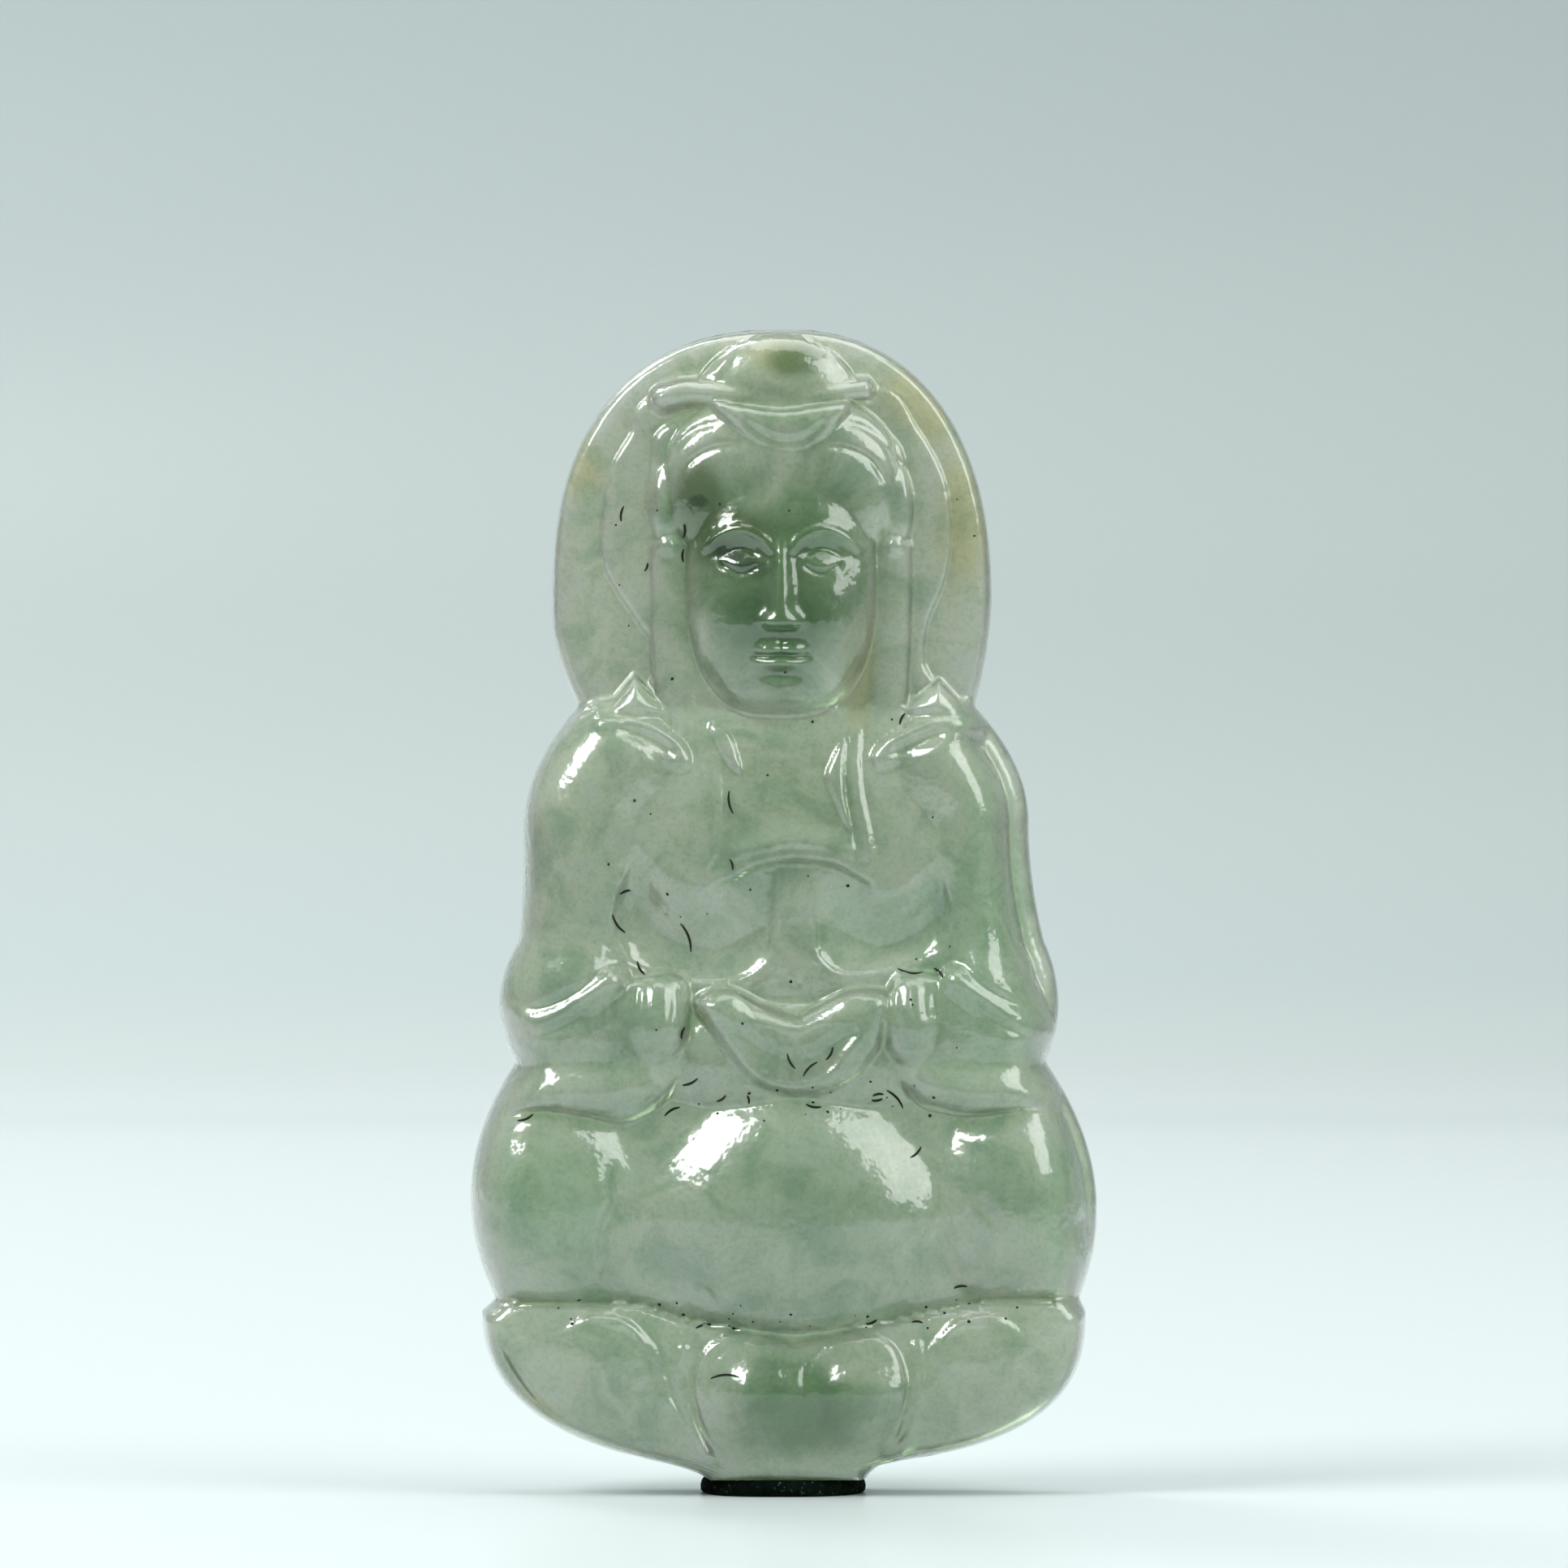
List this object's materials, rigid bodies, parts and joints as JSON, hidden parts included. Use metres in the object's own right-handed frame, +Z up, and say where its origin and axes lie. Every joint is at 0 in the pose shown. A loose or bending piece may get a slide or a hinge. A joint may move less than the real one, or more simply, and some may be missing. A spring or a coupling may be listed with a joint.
{
  "type": "carved jade pendant of a seated hooded bodhisattva",
  "caption": "Flat-backed carved stone pendant: a hooded figure seated on a lotus with the hands in the lap, standing upright on a small pad of putty.",
  "frame": {"origin": "middle of the flat underside of the putty pad", "axes": "+Z up, the figure faces -Y, +X to the viewer's right"},
  "size_m": [0.0284, 0.0082, 0.0526],
  "materials": {
    "jade": "polished, translucent",
    "putty": "matte"
  },
  "bodies": {
    "root": {"carved_jade_figure": "jade", "putty_pad": "putty"}
  },
  "joints": []
}
